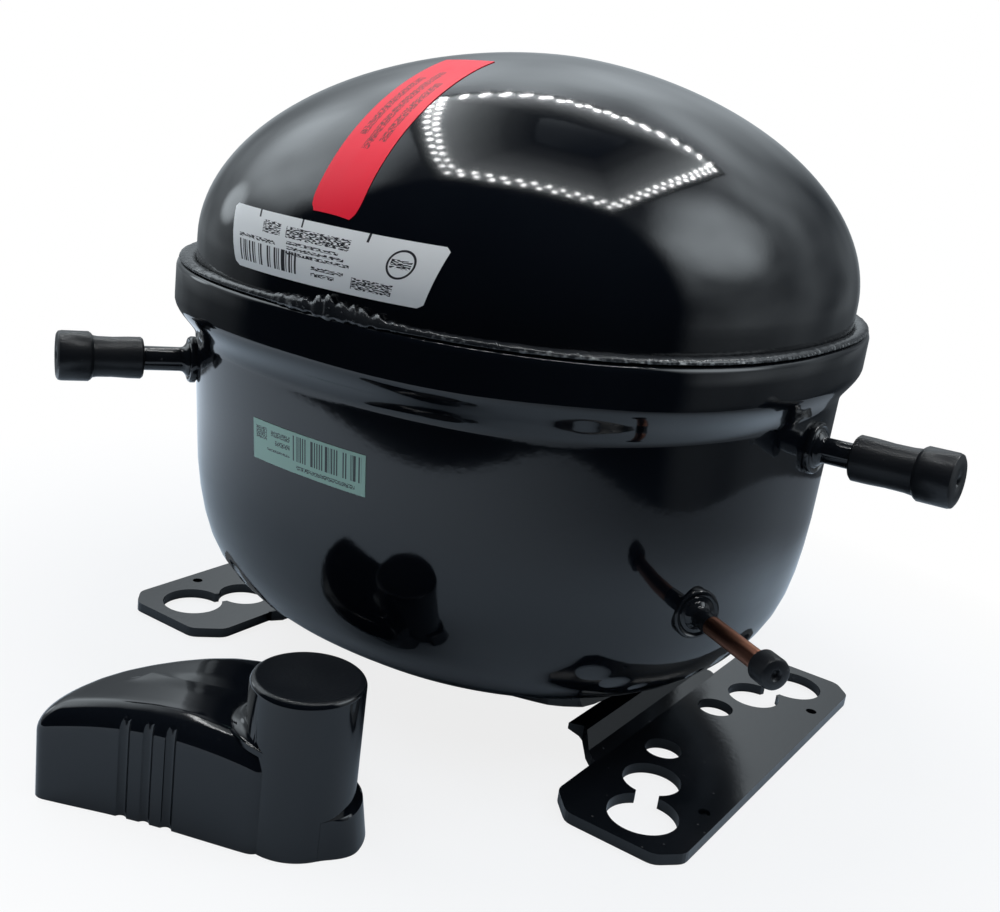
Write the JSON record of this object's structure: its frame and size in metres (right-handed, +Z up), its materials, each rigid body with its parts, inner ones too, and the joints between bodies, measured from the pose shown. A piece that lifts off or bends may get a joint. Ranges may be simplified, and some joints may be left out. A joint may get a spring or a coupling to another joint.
{
  "type": "hermetic reciprocating compressor",
  "caption": "Black welded egg-shaped compressor shell on two slotted feet with capped tube stubs and a loose terminal cover, a sprung linear-motor piston pump inside.",
  "frame": {"origin": "centre of the grommet hole pattern, on the underside of the feet", "axes": "+Z up, X across the two feet (the process tube leaves towards +X), Y along the feet and the pump axis (discharge end +Y)"},
  "size_m": [0.2241, 0.2556, 0.183],
  "materials": {
    "shell_paint": "gloss black enamel",
    "bead_paint": "rough weld under black enamel, bare in places",
    "stub_paint": "black painted steel tube",
    "copper": "bare drawn copper, slightly tarnished",
    "cap_rubber": "matt black rubber",
    "label_white": "printed white film",
    "label_green": "printed pale green film",
    "label_red": "printed red tape",
    "bare_steel": "plain cold-rolled steel",
    "terminal_glass": "fused terminal glass",
    "pin_metal": "plated pin",
    "yellow_zinc": "yellow zinc plate",
    "cover_plastic": "gloss black moulding",
    "spring_steel": "oil-tempered wire",
    "zinc_steel": "clear zinc plate",
    "cast_alloy": "die-cast alloy, machined faces",
    "cast_iron": "fine grey iron, honed bore",
    "valve_resin": "filled valve resin",
    "lamination": "stacked electrical steel",
    "bobbin_resin": "ivory resin",
    "winding": "enamelled copper wire",
    "magnet": "coated magnet",
    "muffler_resin": "dark moulded resin",
    "wire_cover": "wire insulation"
  },
  "bodies": {
    "shell": {"upper_shell": "shell_paint", "lower_shell": "shell_paint", "weld_bead": "bead_paint", "foot_left": "shell_paint", "foot_right": "shell_paint", "suction_stub": "stub_paint", "process_stub": "stub_paint", "discharge_stub": "copper", "stub_collars": "stub_paint", "rating_label": "label_white", "serial_label": "label_green", "notice_label": "label_red", "terminal_cup": "bare_steel", "terminal_glass": "terminal_glass", "terminal_pins": "pin_metal", "terminal_fence": "shell_paint", "earth_screw": "yellow_zinc", "spring_seats": "bare_steel", "terminal_plug": "bobbin_resin"},
    "suction_cap": {"suction_cap": "cap_rubber"},
    "process_cap": {"process_cap": "cap_rubber"},
    "discharge_cap": {"discharge_cap": "cap_rubber"},
    "terminal_cover": {"terminal_cover": "cover_plastic"},
    "pump": {"pump_sole": "bare_steel", "sole_screws": "zinc_steel", "pump_frame": "cast_alloy", "cylinder_sleeve": "cast_iron", "discharge_cover": "cast_alloy", "cover_screws": "zinc_steel", "valve_spring": "spring_steel", "inner_stator": "lamination", "outer_stator": "lamination", "coil_bobbin": "bobbin_resin", "coil": "winding", "stator_cover": "bare_steel", "stator_bolts": "zinc_steel", "back_cover": "bare_steel", "back_posts": "zinc_steel", "suction_guide": "muffler_resin", "oil_tube": "bare_steel", "discharge_loop": "copper", "coil_leads": "wire_cover", "suspension_springs": "spring_steel", "front_springs": "spring_steel", "rear_springs": "spring_steel"},
    "piston_set": {"piston": "cast_iron", "suction_reed": "spring_steel", "reed_screw": "zinc_steel", "magnet_frame": "bare_steel", "magnets": "magnet", "spring_supporter": "bare_steel", "supporter_screws": "zinc_steel", "suction_muffler": "muffler_resin"},
    "discharge_valve": {"discharge_valve": "valve_resin"}
  },
  "joints": [
    {"name": "pump_float", "type": "slide", "parent": "shell", "child": "pump", "axis": [0, 0, 1], "range_m": [-0.002, 0.002], "stiffness_N_per_m": 12000, "springref_m": 0.00279, "deforming": ["suspension_springs", "discharge_loop", "coil_leads"]},
    {"name": "piston_stroke", "type": "slide", "parent": "pump", "child": "piston_set", "axis": [0, 1, 0], "range_m": [-0.006, 0.0058], "stiffness_N_per_m": 25000, "deforming": ["front_springs", "rear_springs"]},
    {"name": "valve_lift", "type": "slide", "parent": "pump", "child": "discharge_valve", "axis": [0, 1, 0], "range_m": [0, 0.0015], "stiffness_N_per_m": 1500, "springref_m": -0.002, "deforming": ["valve_spring"]},
    {"name": "suction_cap_pull", "type": "slide", "parent": "shell", "child": "suction_cap", "axis": [-0.5299, -0.848, 0], "range_m": [0, 0.03]},
    {"name": "process_cap_pull", "type": "slide", "parent": "shell", "child": "process_cap", "axis": [0.9981, -0.0436, 0.0436], "range_m": [0, 0.03]},
    {"name": "discharge_cap_pull", "type": "slide", "parent": "shell", "child": "discharge_cap", "axis": [0.8285, -0.5589, 0.0349], "range_m": [0, 0.02]},
    {"name": "cover_lift", "type": "slide", "parent": "shell", "child": "terminal_cover", "axis": [0, -0.8, 0.6], "range_m": [0, 0.1]}
  ]
}
